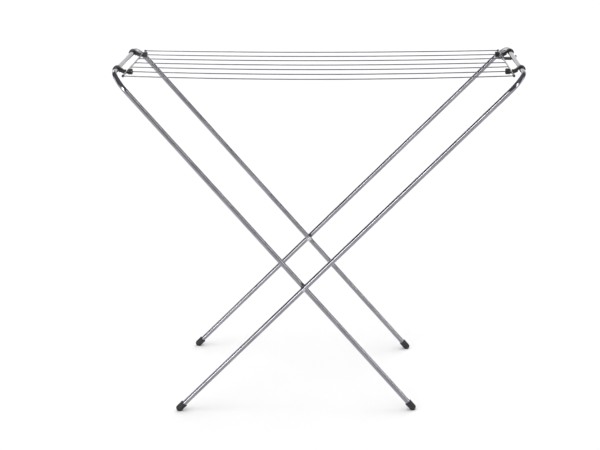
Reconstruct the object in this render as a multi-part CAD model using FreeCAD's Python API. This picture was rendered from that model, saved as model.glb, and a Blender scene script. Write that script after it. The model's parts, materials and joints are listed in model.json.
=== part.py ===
import FreeCAD, Part
import math
import os

from FreeCAD import Rotation, Vector

# Folding clothes drying rack: two bent-tube frames that cross as an X and turn on
# two rivets, with a flat grid of wires across the top. All sizes in millimetres.
# Origin: on the floor, midway between the crossbars. +X runs along the wires, +Z is up.
# The inner frame carries the left crossbar, the outer frame the right one.

# Bent-tube frames
TUBE_R = 7.0
TUBE_WALL = 0.8
BEND_R = 60.0
BAR_X = 552.0             # each crossbar's distance from the middle
BAR_Z = 950.0             # height of both crossbars' axes
INNER_FOOT_X = 265.0
OUTER_FOOT_X = -391.0
FOOT_Z = 8.0              # height of the centre of a foot's round end
INNER_HALF_WIDTH = 258.0  # from the middle to a leg's axis
LEG_GAP = 5.0             # between an inner and an outer leg
OUTER_HALF_WIDTH = INNER_HALF_WIDTH + 2 * TUBE_R + LEG_GAP

# Foot caps, measured along the leg from the centre of the round end
CAP_R = 9.7
CAP_LENGTH = 19.0
CAP_LIP = 0.4
CAP_LIP_LENGTH = 3.0
CAP_EDGE_ROUND = 0.3

# Pivot
RIVET_R = 2.9
RIVET_HEAD_R = 4.6
RIVET_HEAD_H = 2.2
HEAD_OVERLAP = 0.5        # how far a rivet's shank runs into its heads
WASHER_R = 7.0
WASHER_H = 1.2
SPACER_R = 7.8
SPACER_SADDLE = 1.5       # how far the spacer wraps the outer leg
FACE_GAP = 0.3            # between faces that pass each other
SEAT_GAP = 0.05           # radial, between pieces that are fixed together
RUNNING_GAP = 0.06        # radial, where a piece turns on a shaft

# Wire grid
WIRE_COUNT = 7
WIRE_PITCH = 78.0
WIRE_R = 1.5
SAG_NEAR = 9.0
SAG_FAR = 5.0
ROD_R = 2.5
ROD_CHAMFER = 0.4
ROD_INSET = 27.0          # from a crossbar's axis to its cross rod
ROD_DROP = 5.5            # the grid lies this far below the crossbars' axes
ROD_HALF_LENGTH = 233.0
ROD_CAP_R = 3.7
ROD_CAP_COVER = 6.0
ROD_CAP_END = 2.0
ROD_CAP_ROUND = 1.7

# Clips that join the grid to the crossbars
CLIP_WIRES = (2, 6)
CLIP_WIDTH = 16.0
CLIP_R = 11.5
CLIP_SNAP_ANGLE = 240.0   # the left pair snaps round its crossbar
CLIP_HOOK_ANGLE = 180.0   # the right pair only hooks over its crossbar
HOOK_GAP = 0.4
BEAD_STEP = 0.2           # the beads at a ring's ends stand this far inside its faces
ARM_WIDTH = 11.0
ARM_START = 9.2           # places in a clip count from the crossbar's axis
ARM_START_TOP = 6.5       # the arm leaves the ring high and drops to the rod
ARM_START_BOTTOM = -6.0
ARM_SLOPE_END = 19.0
ARM_TOP = 0.0
ARM_BOTTOM = -11.0
KNUCKLE_R = 5.4
NECK_TOP = 3.5            # the neck's top, above the rod's axis
GROOVE_HALF_WIDTH = 2.1   # the groove through which a rod snaps into its knuckle
JAW_START = 3.0           # from the rod's axis
JAW_END = 16.0
JAW_HALF_HEIGHT = 7.5
JAW_ROUND = 2.5
EDGE_ROUND = 0.8          # outer edges of the moulded pieces

# Latch that closes under the right crossbar
LATCH_Y = 112.0
LATCH_KNUCKLE_LENGTH = 56.0
LATCH_ARM_WIDTH = 26.0
LATCH_ARM_H = 5.5
LATCH_CORNER_R = 6.4      # seen from above, of the arm and the thumb tab
LATCH_CLEARANCE = 1.0     # below the crossbar's surface
LATCH_TIP_GAP = 1.5       # beyond the crossbar's surface
LATCH_TIP_DEPTH = 6.0
LATCH_TIP_RISE = 12.0
LATCH_TIP_ROUND = 4.0
LATCH_TAB_LENGTH = 13.0
LATCH_TAB_H = 3.0
LATCH_RIB_COUNT = 3
LATCH_RIB_PITCH = 2.4
LATCH_RIB_R = 0.6

ROD_X = BAR_X - ROD_INSET
ROD_Z = BAR_Z - ROD_DROP
SAME_PLACE = 0.1          # how near two places are to count as one
PARALLEL = 0.001          # how near two directions are to count as one
X_AXIS = Vector(1, 0, 0)
Y_AXIS = Vector(0, 1, 0)
Z_AXIS = Vector(0, 0, 1)
INNER_TOP = Vector(-BAR_X, 0, BAR_Z)
INNER_FOOT = Vector(INNER_FOOT_X, 0, FOOT_Z)
OUTER_TOP = Vector(BAR_X, 0, BAR_Z)
OUTER_FOOT = Vector(OUTER_FOOT_X, 0, FOOT_Z)


def pivot_point():
    """Where the two frames' leg lines cross, seen from the front."""
    inner_run = INNER_FOOT - INNER_TOP
    outer_run = OUTER_FOOT - OUTER_TOP
    share = (OUTER_TOP.x - INNER_TOP.x) / (inner_run.x - outer_run.x)
    return INNER_TOP + inner_run * share


PIVOT = pivot_point()


def unit(vector):
    return vector * (1.0 / vector.Length)


def rod_along_y(radius, y_low, y_high, x, z):
    return Part.makeCylinder(radius, y_high - y_low, Vector(x, y_low, z), Y_AXIS)


def box_between(x_low, x_high, y_low, y_high, z_low, z_high):
    corner = Vector(x_low, y_low, z_low)
    return Part.makeBox(x_high - x_low, y_high - y_low, z_high - z_low, corner)


def edges_along(shape, axis):
    """Straight edges that run along an axis."""
    return [
        edge for edge in shape.Edges
        if abs(edge.tangentAt(edge.FirstParameter).dot(axis)) > 1 - PARALLEL
    ]


def circles_of(shape, radius):
    """Circular edges of one radius."""
    return [
        edge for edge in shape.Edges
        if not edge.Degenerated
        and edge.Curve.TypeId == "Part::GeomCircle"
        and abs(edge.Curve.Radius - radius) < SAME_PLACE
    ]


def rounded_edges(shape, axis, radius):
    """Rounds the edges that run along an axis."""
    return shape.makeFillet(radius, edges_along(shape, axis))


def moulded_block(shape, axis, corner_r):
    """Block whose corner edges along an axis are well rounded and the rest lightly."""
    shape = rounded_edges(shape, axis, corner_r)
    outline = [
        edge for edge in shape.Edges
        if abs(edge.tangentAt(edge.FirstParameter).dot(axis)) < PARALLEL
    ]
    return shape.makeFillet(EDGE_ROUND, outline)


def moulded_rod(radius, half_length, x, z):
    """Cylinder along Y with rounded rims."""
    rod = rod_along_y(radius, -half_length, half_length, x, z)
    rims = [
        edge for edge in rod.Edges if abs(edge.CenterOfMass.y) > half_length - SAME_PLACE
    ]
    return rod.makeFillet(EDGE_ROUND, rims)


def swept(path, radius):
    """Solid bar of round section along a wire of tangent edges."""
    first = path.OrderedEdges[0]
    start = first.valueAt(first.FirstParameter)
    heading = first.tangentAt(first.FirstParameter)
    section = Part.Wire(Part.Edge(Part.Circle(start, heading, radius)))
    return path.makePipeShell([section], True, False)


def frame_path(top, foot, half_width):
    """Centreline of one U: leg, bend, crossbar, bend, leg."""
    down = unit(foot - top)
    length = (foot - top).Length

    def at(y, distance):
        return top + down * distance + Vector(0, y, 0)

    def bend_middle(side):
        centre = at(side * (half_width - BEND_R), BEND_R)
        outward = unit(Vector(0, side, 0) - down)
        return centre + outward * BEND_R

    near_end = at(-half_width, length)
    near_bend = at(-half_width, BEND_R)
    near_bar = at(-(half_width - BEND_R), 0)
    far_bar = at(half_width - BEND_R, 0)
    far_bend = at(half_width, BEND_R)
    far_end = at(half_width, length)
    edges = [
        Part.LineSegment(near_end, near_bend).toShape(),
        Part.Arc(near_bend, bend_middle(-1), near_bar).toShape(),
        Part.LineSegment(near_bar, far_bar).toShape(),
        Part.Arc(far_bar, bend_middle(1), far_bend).toShape(),
        Part.LineSegment(far_bend, far_end).toShape(),
    ]
    return Part.Wire(edges)


def frame_tube(top, foot, half_width, hole_radius):
    """Bent tube with a drilled hole for the rivet in each leg."""
    path = frame_path(top, foot, half_width)
    tube = swept(path, TUBE_R).cut(swept(path, TUBE_R - TUBE_WALL))
    reach = half_width + 2 * TUBE_R
    drill = rod_along_y(hole_radius, -reach, reach, PIVOT.x, PIVOT.z)
    return tube.cut(drill)


def foot_cap(top, foot, side, half_width):
    """Round-ended cap pushed over a leg's end, worn flat where it stands."""
    bore = TUBE_R + SEAT_GAP
    lip = CAP_R + CAP_LIP
    lip_start = -CAP_LENGTH + CAP_LIP_LENGTH
    arc_middle = CAP_R * math.sqrt(0.5)
    round_end = Part.Arc(
        Vector(0, 0, CAP_R), Vector(arc_middle, 0, arc_middle), Vector(CAP_R, 0, 0)
    ).toShape()
    profile = Part.makePolygon([
        Vector(CAP_R, 0, 0),
        Vector(CAP_R, 0, lip_start),
        Vector(lip, 0, lip_start),
        Vector(lip, 0, -CAP_LENGTH),
        Vector(bore, 0, -CAP_LENGTH),
        Vector(bore, 0, 0),
        Vector(0, 0, 0),
        Vector(0, 0, CAP_R),
    ])
    outline = Part.Wire([round_end] + profile.Edges)
    cap = Part.Face(outline).revolve(Vector(0, 0, 0), Z_AXIS, 360)
    cap = cap.makeFillet(CAP_EDGE_ROUND, circles_of(cap, lip))
    down = unit(foot - top)
    cap.Placement = FreeCAD.Placement(
        foot + Y_AXIS * (side * half_width), Rotation(Z_AXIS, down)
    )
    reach = 2 * CAP_LENGTH
    floor = box_between(
        foot.x - reach, foot.x + reach,
        side * half_width - reach, side * half_width + reach, -reach, 0,
    )
    return cap.cut(floor)


def outward_cylinder(radius, side, start, end):
    """Cylinder on the pivot axis between two distances out from the middle."""
    low = min(side * start, side * end)
    high = max(side * start, side * end)
    return rod_along_y(radius, low, high, PIVOT.x, PIVOT.z)


def rivet_head(side, flat, rise):
    """Domed head whose flat lies a given distance out; a negative rise points in."""
    dome_r = (RIVET_HEAD_R ** 2 + RIVET_HEAD_H ** 2) / (2 * RIVET_HEAD_H)
    centre = side * (flat + rise * (RIVET_HEAD_H - dome_r))
    ball = Part.makeSphere(dome_r, Vector(PIVOT.x, centre, PIVOT.z))
    slab = outward_cylinder(2 * RIVET_HEAD_R, side, flat, flat + rise * 2 * RIVET_HEAD_H)
    return ball.common(slab)


def pivot_rivet(side):
    inner_flat = INNER_HALF_WIDTH - TUBE_R - FACE_GAP - WASHER_H
    outer_flat = OUTER_HALF_WIDTH + TUBE_R
    shank = outward_cylinder(RIVET_R, side, inner_flat - HEAD_OVERLAP, outer_flat + HEAD_OVERLAP)
    inner_head = rivet_head(side, inner_flat, -1)
    outer_head = rivet_head(side, outer_flat, 1)
    return shank.fuse([inner_head, outer_head]).removeSplitter()


def pivot_washer(side):
    end = INNER_HALF_WIDTH - TUBE_R - FACE_GAP
    disc = outward_cylinder(WASHER_R, side, end - WASHER_H, end)
    return disc.cut(outward_cylinder(RIVET_R + SEAT_GAP, side, end - WASHER_H, end))


def pivot_spacer(side):
    """Disc between the legs: flat towards the inner leg, hollowed to seat the outer."""
    start = INNER_HALF_WIDTH + TUBE_R + FACE_GAP
    end = OUTER_HALF_WIDTH - TUBE_R + SPACER_SADDLE
    disc = outward_cylinder(SPACER_R, side, start, end)
    leg_start = PIVOT + Vector(0, side * OUTER_HALF_WIDTH, 0)
    down = unit(OUTER_FOOT - OUTER_TOP)
    leg = Part.makeCylinder(TUBE_R, 4 * SPACER_R, leg_start - down * (2 * SPACER_R), down)
    bore = outward_cylinder(RIVET_R + SEAT_GAP, side, start, end)
    return disc.cut([leg, bore])


def cross_rod(side):
    rod = rod_along_y(ROD_R, -ROD_HALF_LENGTH, ROD_HALF_LENGTH, side * ROD_X, ROD_Z)
    ends = [
        edge for edge in rod.Edges
        if abs(abs(edge.CenterOfMass.y) - ROD_HALF_LENGTH) < SAME_PLACE
    ]
    return rod.makeChamfer(ROD_CHAMFER, ends)


def rod_cap(x_side, y_side):
    """Small domed cap over a cross rod's end."""
    covered = ROD_HALF_LENGTH - ROD_CAP_COVER
    end = ROD_HALF_LENGTH + ROD_CAP_END
    low = min(y_side * covered, y_side * end)
    high = max(y_side * covered, y_side * end)
    cap = rod_along_y(ROD_CAP_R, low, high, x_side * ROD_X, ROD_Z)
    outer = [
        edge for edge in cap.Edges if abs(edge.CenterOfMass.y - y_side * end) < SAME_PLACE
    ]
    cap = cap.makeFillet(ROD_CAP_ROUND, outer)
    bore_low = min(y_side * covered, y_side * ROD_HALF_LENGTH)
    bore_high = max(y_side * covered, y_side * ROD_HALF_LENGTH)
    bore = rod_along_y(ROD_R + SEAT_GAP, bore_low, bore_high, x_side * ROD_X, ROD_Z)
    return cap.cut(bore)


def wire_y(number):
    """Wires count from the front, 1 to WIRE_COUNT."""
    return (number - (WIRE_COUNT + 1) / 2) * WIRE_PITCH


def grid_wire(number):
    """Wire with a slight sag, running between the inward sides of the cross rods."""
    y = wire_y(number)
    sag = SAG_NEAR + (SAG_FAR - SAG_NEAR) * (number - 1) / (WIRE_COUNT - 1)
    end = ROD_X - ROD_R - SEAT_GAP
    arc = Part.Arc(Vector(-end, y, ROD_Z), Vector(0, y, ROD_Z - sag), Vector(end, y, ROD_Z))
    return swept(Part.Wire([arc.toShape()]), WIRE_R)


def open_ring(inner_r, outer_r, width, angle):
    """Part of a ring about the Y axis, open downwards, with a rounded bead at each end."""
    half = width / 2
    reach = 3 * outer_r
    half_gap = math.radians(360.0 - angle) / 2
    opening = Part.makePolygon([
        Vector(0, -width, 0),
        Vector(reach * math.sin(half_gap), -width, -reach * math.cos(half_gap)),
        Vector(0, -width, -2 * reach),
        Vector(-reach * math.sin(half_gap), -width, -reach * math.cos(half_gap)),
        Vector(0, -width, 0),
    ])
    wedge = Part.Face(opening).extrude(Vector(0, 2 * width, 0))
    bore = rod_along_y(inner_r, -width, width, 0, 0)
    ring = moulded_rod(outer_r, half, 0, 0).cut([bore, wedge])
    middle_r = (inner_r + outer_r) / 2
    bead_r = (outer_r - inner_r) / 2 - BEAD_STEP
    beads = [
        moulded_rod(
            bead_r, half - BEAD_STEP,
            end * middle_r * math.sin(half_gap), -middle_r * math.cos(half_gap),
        )
        for end in (-1, 1)
    ]
    return ring.fuse(beads)


def knuckle_cutters(width, x, z):
    """Bore for a cross rod, and the groove above it that the rod snaps through."""
    bore = rod_along_y(ROD_R + RUNNING_GAP, -width, width, x, z)
    groove = box_between(
        x - GROOVE_HALF_WIDTH, x + GROOVE_HALF_WIDTH, -width, width, z, z + 2 * KNUCKLE_R,
    )
    return [bore, groove]


def clip_arm(half_width):
    """Arm that drops from the ring's inner side to the cross rod."""
    outline = [
        Vector(ARM_START, -half_width, ARM_START_BOTTOM),
        Vector(ARM_START, -half_width, ARM_START_TOP),
        Vector(ARM_SLOPE_END, -half_width, ARM_TOP),
        Vector(ROD_INSET, -half_width, ARM_TOP),
        Vector(ROD_INSET, -half_width, ARM_BOTTOM),
        Vector(ARM_SLOPE_END, -half_width, ARM_BOTTOM),
    ]
    face = Part.Face(Part.makePolygon(outline + outline[:1]))
    arm = face.extrude(Vector(0, 2 * half_width, 0))
    sides = [
        edge for edge in arm.Edges
        if abs(edge.tangentAt(edge.FirstParameter).y) < PARALLEL
        and ARM_START < edge.CenterOfMass.x < ROD_INSET
    ]
    return arm.makeFillet(EDGE_ROUND, sides)


def clip(y, side, ring_gap, ring_angle):
    """Moulded clip: ring over the crossbar, knuckle on the rod, jaws on the wire.

    It is drawn about the crossbar's axis with the grid towards +X, then placed.
    """
    rod_z = -ROD_DROP
    inner_r = TUBE_R + ring_gap
    ring = open_ring(inner_r, CLIP_R, CLIP_WIDTH, ring_angle)
    half_arm = ARM_WIDTH / 2
    arm = clip_arm(half_arm)
    knuckle = moulded_rod(KNUCKLE_R, half_arm, ROD_INSET, rod_z)
    jaws = box_between(
        ROD_INSET + JAW_START, ROD_INSET + JAW_END, -half_arm, half_arm,
        rod_z - JAW_HALF_HEIGHT, rod_z + JAW_HALF_HEIGHT,
    )
    jaws = moulded_block(jaws, Y_AXIS, JAW_ROUND)
    neck = box_between(
        ROD_INSET, ROD_INSET + JAW_START + JAW_ROUND, -half_arm, half_arm,
        rod_z - KNUCKLE_R, rod_z + NECK_TOP,
    )
    neck = rounded_edges(neck, X_AXIS, EDGE_ROUND)
    body = ring.fuse([arm, knuckle, jaws, neck]).removeSplitter()
    seat = WIRE_R + SEAT_GAP
    wire_fall = 2 * SAG_NEAR / ROD_X * JAW_END
    slot = box_between(
        ROD_INSET, ROD_INSET + 2 * JAW_END, -CLIP_WIDTH, seat,
        rod_z - seat - wire_fall, rod_z + seat,
    )
    body = body.cut(knuckle_cutters(CLIP_WIDTH, ROD_INSET, rod_z) + [slot])
    if side > 0:
        body = body.mirror(Vector(0, 0, 0), Vector(1, 0, 0))
    body.translate(Vector(side * BAR_X, y, BAR_Z))
    return body


def moulded_rib(distance, half_length):
    """Low grip rib across the latch's thumb tab."""
    height = -KNUCKLE_R + LATCH_TAB_H
    rib = rod_along_y(LATCH_RIB_R, -half_length, half_length, -distance, height)
    ends = [
        Part.makeSphere(LATCH_RIB_R, Vector(-distance, side * half_length, height))
        for side in (-1, 1)
    ]
    return rib.fuse(ends)


def latch():
    """Lever on the right cross rod: arm under the crossbar, tip up its far side."""
    bar_x = ROD_INSET
    bar_bottom = ROD_DROP - TUBE_R
    arm_top = bar_bottom - LATCH_CLEARANCE
    arm_bottom = arm_top - LATCH_ARM_H
    half_knuckle = LATCH_KNUCKLE_LENGTH / 2
    half_arm = LATCH_ARM_WIDTH / 2
    tip_inner = bar_x + TUBE_R + LATCH_TIP_GAP
    tip_outer = tip_inner + LATCH_TIP_DEPTH
    knuckle = moulded_rod(KNUCKLE_R, half_knuckle, 0, 0)
    arm = box_between(-LATCH_CORNER_R, tip_outer, -half_arm, half_arm, arm_bottom, arm_top)
    arm = moulded_block(arm, Z_AXIS, LATCH_CORNER_R)
    arm_start = box_between(-2 * LATCH_CORNER_R, 0, -half_arm, half_arm, arm_bottom, arm_top)
    arm = arm.cut(arm_start)
    tip = box_between(
        tip_inner, tip_outer, -half_arm / 2, half_arm / 2, arm_bottom, arm_bottom + LATCH_TIP_RISE,
    )
    tip = rounded_edges(tip, X_AXIS, LATCH_TIP_ROUND)
    tab = box_between(
        -LATCH_TAB_LENGTH, LATCH_CORNER_R, -half_arm, half_arm, -KNUCKLE_R, -KNUCKLE_R + LATCH_TAB_H,
    )
    tab = moulded_block(tab, Z_AXIS, LATCH_CORNER_R)
    tab_end = box_between(0, 2 * LATCH_CORNER_R, -half_arm, half_arm, -KNUCKLE_R, 0)
    tab = tab.cut(tab_end)
    ribs = [
        moulded_rib(LATCH_TAB_LENGTH - (place + 1) * LATCH_RIB_PITCH, half_arm - LATCH_CORNER_R)
        for place in range(LATCH_RIB_COUNT)
    ]
    body = knuckle.fuse([arm, tip, tab] + ribs).removeSplitter()
    body = body.cut(knuckle_cutters(LATCH_KNUCKLE_LENGTH, 0, 0))
    body.translate(Vector(ROD_X, LATCH_Y, ROD_Z))
    return body


def all_nodes():
    nodes = {
        "inner_tube": frame_tube(INNER_TOP, INNER_FOOT, INNER_HALF_WIDTH, RIVET_R + RUNNING_GAP),
        "outer_tube": frame_tube(OUTER_TOP, OUTER_FOOT, OUTER_HALF_WIDTH, RIVET_R + SEAT_GAP),
        "pivot_rivets": Part.makeCompound([pivot_rivet(-1), pivot_rivet(1)]),
        "pivot_washers": Part.makeCompound([pivot_washer(-1), pivot_washer(1)]),
        "latch": latch(),
    }
    for word, side in (("near", -1), ("far", 1)):
        nodes["inner_foot_" + word] = foot_cap(INNER_TOP, INNER_FOOT, side, INNER_HALF_WIDTH)
        nodes["outer_foot_" + word] = foot_cap(OUTER_TOP, OUTER_FOOT, side, OUTER_HALF_WIDTH)
        nodes["pivot_spacer_" + word] = pivot_spacer(side)
        nodes["rod_cap_left_" + word] = rod_cap(-1, side)
        nodes["rod_cap_right_" + word] = rod_cap(1, side)
    nodes["cross_rod_left"] = cross_rod(-1)
    nodes["cross_rod_right"] = cross_rod(1)
    for number in range(1, WIRE_COUNT + 1):
        nodes["wire_%d" % number] = grid_wire(number)
    for number in CLIP_WIRES:
        y = wire_y(number)
        nodes["clip_left_%d" % number] = clip(y, -1, RUNNING_GAP, CLIP_SNAP_ANGLE)
        nodes["clip_right_%d" % number] = clip(y, 1, HOOK_GAP, CLIP_HOOK_ANGLE)
    return nodes


os.makedirs("parts", exist_ok=True)
for name, shape in all_nodes().items():
    shape.exportStep("parts/" + name + ".step")
    print(name, len(shape.Solids), shape.isValid(), round(shape.Volume, 1))
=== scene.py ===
import json
import math

import bpy
from mathutils import Matrix, Vector


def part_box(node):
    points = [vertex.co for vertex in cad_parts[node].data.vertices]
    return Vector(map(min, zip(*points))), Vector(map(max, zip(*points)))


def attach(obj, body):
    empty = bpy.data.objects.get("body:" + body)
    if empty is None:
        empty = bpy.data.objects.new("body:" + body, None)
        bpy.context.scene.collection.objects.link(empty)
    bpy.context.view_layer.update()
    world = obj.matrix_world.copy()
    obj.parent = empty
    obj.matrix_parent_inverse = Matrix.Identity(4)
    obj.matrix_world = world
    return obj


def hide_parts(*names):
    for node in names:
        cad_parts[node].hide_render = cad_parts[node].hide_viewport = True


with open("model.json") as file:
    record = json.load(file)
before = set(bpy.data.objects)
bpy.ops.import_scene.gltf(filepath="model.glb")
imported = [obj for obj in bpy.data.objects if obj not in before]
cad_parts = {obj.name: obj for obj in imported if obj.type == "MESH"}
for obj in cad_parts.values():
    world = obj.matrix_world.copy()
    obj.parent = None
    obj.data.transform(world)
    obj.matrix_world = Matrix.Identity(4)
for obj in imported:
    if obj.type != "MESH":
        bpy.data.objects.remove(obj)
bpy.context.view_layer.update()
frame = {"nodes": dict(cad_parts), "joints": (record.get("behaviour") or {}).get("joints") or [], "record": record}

# Folding clothes drying rack: two plated tube frames that cross as an X, and a grid of
# plated wires across the top. Metres; the same frame as the CAD nodes.

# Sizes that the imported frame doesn't state
BEND_R = 0.060
TUBE_WALL = 0.0008
FOOT_Z = 0.008            # height of the centre of a foot's round end
RIVET_R = 0.0029
RIVET_HEAD_R = 0.0046
RIVET_HEAD_H = 0.0022
WASHER_R = 0.0070
WASHER_H = 0.0012
WASHER_RIM = 0.0003       # how far its edges are rounded off
SEAT_GAP = 0.00005
ROD_EDGE = 0.0004         # chamfer on a cross rod's ends
RIVET_BEVEL = 0.0002
WASHER_BEVEL = 0.0001
DOME_TIP_R = 0.00005      # a dome's last ring, at its top
WELD_LENGTH = 0.0022      # how far a wire's welded end swells
WELD_SWELL = 0.45         # the swelling, as a share of the wire's radius

# How finely the meshes are cut
TUBE_SIDES = 48
ROD_SIDES = 28
WIRE_SIDES = 20
TURNED_SIDES = 40
BEND_STEPS = 36
LEG_STEP = 0.02
WIRE_STEPS = 96
ROD_STEPS = 24
DOME_STEPS = 10
WELD_STEPS = 5
BEVEL_STEPS = 3
BEVEL_ANGLE = math.radians(35)

X_AXIS = Vector((1, 0, 0))
Y_AXIS = Vector((0, 1, 0))
Z_AXIS = Vector((0, 0, 1))

joints = {joint["name"]: joint for joint in frame["joints"]}
mounts = {mount["name"]: mount for mount in frame["record"]["mounts"]}
PIVOT = Vector(joints["frame_fold"]["pos_m"])
INNER_BAR = Vector(joints["grid_swing"]["pos_m"])


# ---------------------------------------------------------------- shapes

def in_plane(point):
    """The point moved to the rack's middle plane."""
    return Vector((point.x, 0, point.z))


def mesh_piece(name, vertices, faces, straight):
    """Mesh object. straight holds each vertex's place on the piece as if it were unbent."""
    mesh = bpy.data.meshes.new(name)
    mesh.from_pydata([tuple(v) for v in vertices], [], faces)
    layer = mesh.attributes.new("straight", "FLOAT_VECTOR", "POINT")
    for item, value in zip(layer.data, straight):
        item.vector = value
    for polygon in mesh.polygons:
        polygon.use_smooth = True
    mesh.validate()
    piece = bpy.data.objects.new(name, mesh)
    bpy.context.scene.collection.objects.link(piece)
    return piece


def ring_points(centre, across, up, radius, sides):
    step = 2 * math.pi / sides
    return [
        centre + (across * math.cos(step * k) + up * math.sin(step * k)) * radius
        for k in range(sides)
    ]


def swept_bar(name, centres, normal, radii, sides, wall=0.0):
    """Round bar along points in a plane. With a wall it is a tube, open at both ends."""
    count = len(centres)
    vertices = []
    straight = []
    faces = []
    skins = [0.0, wall] if wall else [0.0]
    for skin in skins:
        run = 0.0
        for i, centre in enumerate(centres):
            before = centres[max(i - 1, 0)]
            after = centres[min(i + 1, count - 1)]
            tangent = (after - before).normalized()
            up = normal.cross(tangent).normalized()
            if i:
                run += (centre - centres[i - 1]).length
            radius = radii[i] - skin
            vertices += ring_points(centre, normal, up, radius, sides)
            straight += ring_points(Vector((0, 0, run)), X_AXIS, Y_AXIS, radius, sides)
    size = count * sides
    for i in range(count - 1):
        for k in range(sides):
            a = i * sides + k
            b = i * sides + (k + 1) % sides
            faces.append((a, b, b + sides, a + sides))
            if wall:
                faces.append((size + a, size + a + sides, size + b + sides, size + b))
    last = (count - 1) * sides
    for k in range(sides):
        j = (k + 1) % sides
        if wall:
            faces.append((k, size + k, size + j, j))
            faces.append((last + k, last + j, size + last + j, size + last + k))
    if not wall:
        faces.append(tuple(reversed(range(sides))))
        faces.append(tuple(range(last, last + sides)))
    return mesh_piece(name, vertices, faces, straight)


def frame_route(bar, foot, half_width):
    """Centreline of one U: near leg, bend, crossbar, bend, far leg."""
    down = (foot - bar).normalized()
    length = (foot - bar).length

    def at(y, distance):
        return bar + down * distance + Y_AXIS * y

    leg_count = int((length - BEND_R) / LEG_STEP)
    leg = [
        at(-half_width, length + (BEND_R - length) * i / leg_count)
        for i in range(leg_count)
    ]
    near = []
    inset = half_width - BEND_R
    for i in range(BEND_STEPS + 1):
        turn = math.pi / 2 * i / BEND_STEPS
        near.append(at(-inset - BEND_R * math.cos(turn), BEND_R - BEND_R * math.sin(turn)))
    half = leg + near
    bar_count = int(2 * inset / LEG_STEP)
    middle = [at(-inset + 2 * inset * i / bar_count, 0) for i in range(1, bar_count)]
    far = [Vector((p.x, -p.y, p.z)) for p in reversed(half)]
    return half + middle + far


def lathed(name, profile, origin, axis):
    """Turned piece: profile lists (distance along the axis, radius) from end to end."""
    across = axis.orthogonal().normalized()
    up = axis.cross(across)
    vertices = []
    straight = []
    faces = []
    for along, radius in profile:
        vertices += ring_points(origin + axis * along, across, up, radius, TURNED_SIDES)
        straight += ring_points(Vector((0, 0, along)), X_AXIS, Y_AXIS, radius, TURNED_SIDES)
    for i in range(len(profile) - 1):
        for k in range(TURNED_SIDES):
            a = i * TURNED_SIDES + k
            b = i * TURNED_SIDES + (k + 1) % TURNED_SIDES
            faces.append((a, b, b + TURNED_SIDES, a + TURNED_SIDES))
    last = (len(profile) - 1) * TURNED_SIDES
    faces.append(tuple(reversed(range(TURNED_SIDES))))
    faces.append(tuple(range(last, last + TURNED_SIDES)))
    return mesh_piece(name, vertices, faces, straight)


def hollow_lathed(name, profile, origin, axis):
    """Turned ring: the profile is a closed outline that stays off the axis."""
    across = axis.orthogonal().normalized()
    up = axis.cross(across)
    vertices = []
    straight = []
    faces = []
    for along, radius in profile:
        vertices += ring_points(origin + axis * along, across, up, radius, TURNED_SIDES)
        straight += ring_points(Vector((0, 0, along)), X_AXIS, Y_AXIS, radius, TURNED_SIDES)
    count = len(profile)
    for i in range(count):
        here = i * TURNED_SIDES
        there = (i + 1) % count * TURNED_SIDES
        for k in range(TURNED_SIDES):
            j = (k + 1) % TURNED_SIDES
            faces.append((here + k, here + j, there + j, there + k))
    return mesh_piece(name, vertices, faces, straight)


def bevelled(piece, width):
    bevel = piece.modifiers.new("bevel", "BEVEL")
    bevel.width = width
    bevel.segments = BEVEL_STEPS
    bevel.limit_method = "ANGLE"
    bevel.angle_limit = BEVEL_ANGLE
    return piece


# ---------------------------------------------------------------- materials

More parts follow.
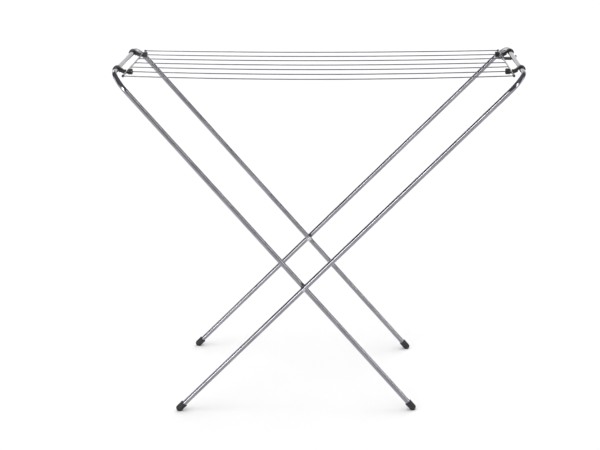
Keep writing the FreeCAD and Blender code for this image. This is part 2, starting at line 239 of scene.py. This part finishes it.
class Surface:
    """A node material in the making."""

    def __init__(self, name, metallic):
        self.material = bpy.data.materials.new(name)
        self.material.use_nodes = True
        self.tree = self.material.node_tree
        self.shader = self.tree.nodes["Principled BSDF"]
        self.shader.inputs["Metallic"].default_value = metallic

    def node(self, kind, **values):
        made = self.tree.nodes.new(kind)
        for key, value in values.items():
            made.inputs[key].default_value = value
        return made

    def link(self, source, target):
        self.tree.links.new(source, target)

    def place(self, scale, from_straight):
        """Coordinates, in metres, stretched by a scale for each axis."""
        if from_straight:
            source = self.node("ShaderNodeAttribute")
            source.attribute_name = "straight"
            output = source.outputs["Vector"]
        else:
            output = self.node("ShaderNodeTexCoord").outputs["Object"]
        mapping = self.node("ShaderNodeMapping")
        mapping.inputs["Scale"].default_value = scale
        self.link(output, mapping.inputs["Vector"])
        return mapping.outputs["Vector"]

    def noise(self, vector, scale, detail=4.0, roughness=0.55):
        made = self.node("ShaderNodeTexNoise", Scale=scale, Detail=detail, Roughness=roughness)
        self.link(vector, made.inputs["Vector"])
        return made.outputs["Fac"]

    def ramp(self, value, low, high, start, end):
        """Colours from start to end as value goes from low to high."""
        made = self.node("ShaderNodeValToRGB")
        first, last = made.color_ramp.elements
        first.position = low
        last.position = high
        first.color = (*start, 1)
        last.color = (*end, 1)
        self.link(value, made.inputs["Fac"])
        return made.outputs["Color"]

    def spread(self, value, low, high, start, end):
        """Number from start to end as value goes from low to high."""
        made = self.node("ShaderNodeMapRange")
        for key, number in zip(("From Min", "From Max", "To Min", "To Max"), (low, high, start, end)):
            made.inputs[key].default_value = number
        self.link(value, made.inputs["Value"])
        return made.outputs["Result"]

    def blend(self, kind, amount, first, second):
        made = self.node("ShaderNodeMix")
        made.data_type = "RGBA"
        made.blend_type = kind
        made.inputs["Factor"].default_value = amount
        self.link(first, made.inputs["A"])
        self.link(second, made.inputs["B"])
        return made.outputs["Result"]

    def add(self, first, second, share):
        """first plus a share of second."""
        made = self.node("ShaderNodeMath")
        made.operation = "MULTIPLY_ADD"
        self.link(second, made.inputs[0])
        made.inputs[1].default_value = share
        self.link(first, made.inputs[2])
        return made.outputs["Value"]

    def bump(self, height, distance, strength):
        made = self.node("ShaderNodeBump", Strength=strength, Distance=distance)
        self.link(height, made.inputs["Height"])
        self.link(made.outputs["Normal"], self.shader.inputs["Normal"])

    def colour(self, output):
        self.link(output, self.shader.inputs["Base Color"])

    def rough(self, output):
        self.link(output, self.shader.inputs["Roughness"])


def plated_steel(name, dark, light, rough_low, rough_high, line_scale):
    """Drawn and plated steel: fine lines along the piece, cloudy plating, small marks."""
    surface = Surface(name, metallic=1.0)
    along = surface.place((1.0, 1.0, 0.012), from_straight=True)
    clouds_at = surface.place((1.0, 1.0, 0.25), from_straight=True)
    marks_at = surface.place((1.0, 1.0, 0.12), from_straight=True)
    lines = surface.noise(along, line_scale, detail=3.0)
    clouds = surface.noise(clouds_at, 70.0, detail=5.0)
    marks = surface.noise(marks_at, 900.0, detail=2.0, roughness=0.4)
    plate = surface.ramp(clouds, 0.35, 0.70, dark, light)
    fine = surface.ramp(lines, 0.30, 0.70, (0.86, 0.86, 0.87), (1.0, 1.0, 1.0))
    pits = surface.ramp(marks, 0.70, 0.76, (1.0, 1.0, 1.0), (0.55, 0.55, 0.56))
    surface.colour(surface.blend("MULTIPLY", 0.6, surface.blend("MULTIPLY", 0.7, plate, fine), pits))
    gloss = surface.add(clouds, lines, 0.6)
    surface.rough(surface.spread(gloss, 0.55, 1.05, rough_low, rough_high))
    surface.bump(lines, distance=0.00002, strength=0.35)
    return surface.material


def moulded_plastic(name, dark, light, rough_low, rough_high, grain, depth):
    """Black moulded plastic: fine grain, faint flow marks and a dull bloom."""
    surface = Surface(name, metallic=0.0)
    at = surface.place((1.0, 1.0, 1.0), from_straight=False)
    flow_at = surface.place((1.0, 0.35, 1.0), from_straight=False)
    speckle = surface.noise(at, grain, detail=2.0, roughness=0.5)
    flow = surface.noise(flow_at, 160.0, detail=4.0)
    bloom = surface.noise(at, 45.0, detail=5.0, roughness=0.65)
    base = surface.ramp(bloom, 0.40, 0.72, dark, light)
    tone = surface.ramp(flow, 0.35, 0.65, (0.82, 0.82, 0.82), (1.0, 1.0, 1.0))
    surface.colour(surface.blend("MULTIPLY", 0.8, base, tone))
    surface.rough(surface.spread(surface.add(bloom, speckle, 0.5), 0.5, 1.0, rough_low, rough_high))
    surface.bump(speckle, distance=depth, strength=0.5)
    return surface.material


MATERIALS = {
    "tube_steel": plated_steel(
        "tube_steel", (0.265, 0.26, 0.285), (0.345, 0.34, 0.37), 0.09, 0.18, line_scale=700.0
    ),
    "wire_steel": plated_steel(
        "wire_steel", (0.22, 0.215, 0.24), (0.30, 0.295, 0.325), 0.14, 0.26, line_scale=1500.0
    ),
    "rivet_steel": plated_steel(
        "rivet_steel", (0.55, 0.55, 0.57), (0.70, 0.70, 0.72), 0.18, 0.30, line_scale=1200.0
    ),
    "clip_plastic": moulded_plastic(
        "clip_plastic", (0.012, 0.012, 0.013), (0.028, 0.028, 0.031), 0.30, 0.46, 2200.0, 0.00004
    ),
    "cap_plastic": moulded_plastic(
        "cap_plastic", (0.020, 0.020, 0.022), (0.045, 0.045, 0.048), 0.38, 0.55, 2200.0, 0.00004
    ),
    "foot_plastic": moulded_plastic(
        "foot_plastic", (0.010, 0.010, 0.011), (0.024, 0.024, 0.026), 0.42, 0.62, 1500.0, 0.00008
    ),
}


def finish_piece(piece, body, slot, node):
    """Gives a piece its material and body, and hides the CAD node it stands for."""
    piece.data.materials.append(MATERIALS[slot])
    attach(piece, body)
    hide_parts(node)


def keep_cad_nodes():
    """The moulded pieces are shown as the CAD made them, with finished materials."""
    for part in frame["record"]["subparts"]:
        node = frame["nodes"][part["node"]]
        material = MATERIALS[part["material_slot"]]
        for slot in node.material_slots:
            slot.material = material


# ---------------------------------------------------------------- tube frames

def build_frames():
    low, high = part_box("outer_tube")
    tube_r = high.z - INNER_BAR.z
    outer_bar = Vector((high.x - tube_r, 0, high.z - tube_r))
    outer_half = high.y - tube_r
    inner_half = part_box("inner_tube")[1].y - tube_r
    parts = (
        ("inner", INNER_BAR, inner_half, "inner_frame"),
        ("outer", outer_bar, outer_half, "outer_frame"),
    )
    for word, bar, half_width, body in parts:
        foot = in_plane(Vector(mounts[word + "_foot_near_rest"]["pos_m"]))
        foot.z = FOOT_Z
        route = frame_route(bar, foot, half_width)
        down = (foot - bar).normalized()
        normal = down.cross(Y_AXIS).normalized()
        radii = [tube_r] * len(route)
        tube = swept_bar(word + "_bent_tube", route, normal, radii, TUBE_SIDES, TUBE_WALL)
        finish_piece(tube, body, "tube_steel", word + "_tube")
    return outer_half, tube_r


# ---------------------------------------------------------------- pivots

def dome(flat, rise, head_r, head_h):
    """Half-profile of a domed head, from its flat to its top."""
    ball_r = (head_r ** 2 + head_h ** 2) / (2 * head_h)
    full = math.asin(head_r / ball_r)
    points = []
    for i in range(DOME_STEPS + 1):
        angle = full * (1 - i / DOME_STEPS)
        height = ball_r * math.cos(angle) - (ball_r - head_h)
        points.append((flat + rise * height, max(ball_r * math.sin(angle), DOME_TIP_R)))
    return points


def build_pivots(outer_half, tube_r):
    """The rivets' and washers' turned shapes, on both sides."""
    washer_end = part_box("pivot_washers")[1].y
    washer_start = washer_end - WASHER_H
    outer_flat = outer_half + tube_r
    bore_r = RIVET_R + SEAT_GAP
    rivet_profile = list(reversed(dome(washer_start, -1, RIVET_HEAD_R, RIVET_HEAD_H)))
    rivet_profile += [(washer_start, RIVET_R), (outer_flat, RIVET_R)]
    rivet_profile += dome(outer_flat, 1, RIVET_HEAD_R, RIVET_HEAD_H)
    washer_profile = [
        (washer_start, bore_r),
        (washer_start, WASHER_R - WASHER_RIM),
        (washer_start + WASHER_RIM, WASHER_R),
        (washer_end - WASHER_RIM, WASHER_R),
        (washer_end, WASHER_R - WASHER_RIM),
        (washer_end, bore_r),
    ]
    for word, side in (("near", -1), ("far", 1)):
        axis = Y_AXIS * side
        rivet = lathed("pivot_rivet_" + word, rivet_profile, PIVOT, axis)
        finish_piece(bevelled(rivet, RIVET_BEVEL), "outer_frame", "rivet_steel", "pivot_rivets")
        washer = hollow_lathed("pivot_washer_" + word, washer_profile, PIVOT, axis)
        finish_piece(bevelled(washer, WASHER_BEVEL), "outer_frame", "rivet_steel", "pivot_washers")


# ---------------------------------------------------------------- wire grid

def build_rods():
    for side in ("left", "right"):
        node = "cross_rod_" + side
        low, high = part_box(node)
        radius = (high.z - low.z) / 2
        middle = (low + high) / 2
        length = high.y - low.y
        places = [length * i / ROD_STEPS for i in range(ROD_STEPS + 1)]
        places = sorted(places + [ROD_EDGE, length - ROD_EDGE])
        centres = [Vector((middle.x, low.y + place, middle.z)) for place in places]
        radii = [radius - ROD_EDGE] + [radius] * (len(places) - 2) + [radius - ROD_EDGE]
        rod = swept_bar(node + "_smooth", centres, Z_AXIS, radii, ROD_SIDES)
        finish_piece(rod, "grid", "wire_steel", node)


def build_wires():
    """Each wire sags as one shallow arc, and its ends swell a little where they are welded."""
    for node in sorted(name for name in frame["nodes"] if name.startswith("wire_")):
        low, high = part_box(node)
        radius = (high.y - low.y) / 2
        y = (low.y + high.y) / 2
        end = max(-low.x, high.x)
        top = high.z - radius
        sag = top - (low.z + radius)
        arc_r = (end ** 2 + sag ** 2) / (2 * sag)
        full = math.asin(end / arc_r)
        angles = [full * (2 * i / WIRE_STEPS - 1) for i in range(WIRE_STEPS + 1)]
        weld = [
            full * (1 - WELD_LENGTH / end * k / WELD_STEPS) for k in range(1, WELD_STEPS + 1)
        ]
        angles = sorted(set(angles + weld + [-a for a in weld]))
        centres = []
        radii = []
        for angle in angles:
            x = arc_r * math.sin(angle)
            z = top - sag + arc_r * (1 - math.cos(angle))
            centres.append(Vector((x, y, z)))
            near_end = max(0.0, 1 - (end - abs(x)) / WELD_LENGTH)
            radii.append(radius * (1 + WELD_SWELL * near_end ** 2))
        wire = swept_bar(node + "_smooth", centres, Y_AXIS, radii, WIRE_SIDES)
        finish_piece(wire, "grid", "wire_steel", node)


# ---------------------------------------------------------------- stage

# The two strip panels lie along the legs that mirror them
OUTER_LEG = (-0.71, 0.0, -0.71)
INNER_LEG = (0.66, 0.0, -0.76)
CAMERA_PLACE = (0.0935, -4.2938, 1.6053)
CAMERA_YAW = -2.019       # degrees, positive turns right
CAMERA_PITCH = 14.814     # degrees below level
CAMERA_ROLL = 0.353
CAMERA_LENS = 91.57       # millimetres
CAMERA_SENSOR = 36.0      # millimetres wide
FLOOR_REACH = 14.0        # each way from the middle


def build_camera():
    yaw = math.radians(CAMERA_YAW)
    pitch = math.radians(CAMERA_PITCH)
    roll = math.radians(CAMERA_ROLL)
    ahead = Vector((
        math.sin(yaw) * math.cos(pitch), math.cos(yaw) * math.cos(pitch), -math.sin(pitch),
    ))
    level = Vector((math.cos(yaw), -math.sin(yaw), 0))
    right = level * math.cos(roll) + ahead.cross(level) * math.sin(roll)
    up = right.cross(ahead)
    data = bpy.data.cameras.new("camera")
    data.lens = CAMERA_LENS
    data.sensor_width = CAMERA_SENSOR
    camera = bpy.data.objects.new("camera", data)
    turn = Matrix((right, up, -ahead)).transposed().to_4x4()
    camera.matrix_world = Matrix.Translation(CAMERA_PLACE) @ turn
    bpy.context.scene.collection.objects.link(camera)
    bpy.context.scene.camera = camera


def aimed(light, place, aim, along):
    """Turns a light to face a point, with its height running along a direction."""
    back = (Vector(place) - Vector(aim)).normalized()
    across = Vector(along).cross(back).normalized()
    turn = Matrix((across, back.cross(across), back)).transposed().to_4x4()
    light.matrix_world = Matrix.Translation(place) @ turn
    bpy.context.scene.collection.objects.link(light)


def soft_box(name, place, aim, width, height, brightness, along=Z_AXIS):
    """Panel that the steel and plastic mirror. Its brightness is 1 where it matches the floor."""
    data = bpy.data.lights.new(name, "AREA")
    data.shape = "RECTANGLE"
    data.size = width
    data.size_y = height
    data.energy = brightness * math.pi * width * height
    light = bpy.data.objects.new(name, data)
    light.visible_camera = False
    light.visible_diffuse = False
    aimed(light, place, aim, along)


def overhead(name, place, spread, strength):
    """Broad light, spread over some degrees, that falls on the floor and isn't mirrored."""
    data = bpy.data.lights.new(name, "SUN")
    data.angle = math.radians(spread)
    data.energy = strength
    light = bpy.data.objects.new(name, data)
    light.visible_glossy = False
    aimed(light, place, (0, 0, 0), Z_AXIS)


def build_floor():
    corners = [
        (x * FLOOR_REACH, y * FLOOR_REACH, 0) for x, y in ((-1, -1), (1, -1), (1, 1), (-1, 1))
    ]
    mesh = bpy.data.meshes.new("floor")
    mesh.from_pydata(corners, [], [(0, 1, 2, 3)])
    floor = bpy.data.objects.new("floor", mesh)
    bpy.context.scene.collection.objects.link(floor)
    surface = Surface("floor_paint", metallic=0.0)
    at = surface.place((1.0, 1.0, 1.0), from_straight=False)
    mottle = surface.noise(at, 3.0)
    surface.colour(surface.ramp(mottle, 0.3, 0.7, (0.86, 0.86, 0.86), (0.88, 0.88, 0.88)))
    surface.shader.inputs["Roughness"].default_value = 0.9
    surface.shader.inputs["Specular IOR Level"].default_value = 0.0
    mesh.materials.append(surface.material)


def build_world():
    """White where the camera looks past the floor. The steel mirrors a dim room with a pale ceiling."""
    world = bpy.data.worlds.new("studio")
    bpy.context.scene.world = world
    world.use_nodes = True
    tree = world.node_tree
    tree.nodes.clear()
    output = tree.nodes.new("ShaderNodeOutputWorld")
    mix = tree.nodes.new("ShaderNodeMixShader")
    path = tree.nodes.new("ShaderNodeLightPath")
    seen = tree.nodes.new("ShaderNodeBackground")
    seen.inputs["Color"].default_value = (1, 1, 1, 1)
    lit = tree.nodes.new("ShaderNodeBackground")
    place = tree.nodes.new("ShaderNodeTexCoord")
    parts = tree.nodes.new("ShaderNodeSeparateXYZ")
    ramp = tree.nodes.new("ShaderNodeValToRGB")
    stops = ramp.color_ramp
    stops.elements[0].position = 0.0
    stops.elements[0].color = (0.30, 0.30, 0.31, 1)
    stops.elements[1].position = 1.0
    stops.elements[1].color = (0.25, 0.25, 0.255, 1)
    stops.elements.new(0.35).color = (0.17, 0.17, 0.175, 1)
    stops.elements.new(0.58).color = (0.13, 0.13, 0.135, 1)
    tree.links.new(place.outputs["Generated"], parts.inputs["Vector"])
    tree.links.new(parts.outputs["Z"], ramp.inputs["Fac"])
    tree.links.new(ramp.outputs["Color"], lit.inputs["Color"])
    tree.links.new(path.outputs["Is Camera Ray"], mix.inputs["Fac"])
    tree.links.new(lit.outputs["Background"], mix.inputs[1])
    tree.links.new(seen.outputs["Background"], mix.inputs[2])
    tree.links.new(mix.outputs["Shader"], output.inputs["Surface"])


def build_lights():
    overhead("front_top", (-1.2, -2.0, 3.4), 70, 2.1)
    overhead("back_top", (1.0, 1.8, 3.4), 70, 1.7)
    soft_box("key", (-1.55, -2.6, 1.21), (0.0, 0.0, 0.5), 0.55, 2.5, 11.0, OUTER_LEG)
    soft_box("side", (2.0, -1.6, 1.7), (0.0, 0.0, 0.5), 0.4, 2.5, 7.5, INNER_LEG)
    soft_box("backdrop", (0.0, 3.6, 1.6), (0.0, 0.0, 1.0), 8.0, 3.2, 0.75)
    soft_box("back", (-1.6, 2.4, 2.4), (0.0, 0.0, 0.6), 0.8, 0.8, 2.5)
    soft_box("left_end", (-3.4, 0.4, 1.2), (0.0, 0.0, 0.7), 1.2, 1.6, 1.6)
    soft_box("right_end", (3.4, 0.4, 1.2), (0.0, 0.0, 0.7), 1.2, 1.6, 1.6)
    bpy.context.scene.view_settings.view_transform = "Standard"


keep_cad_nodes()
build_pivots(*build_frames())
build_rods()
build_wires()
build_floor()
build_world()
build_lights()
build_camera()
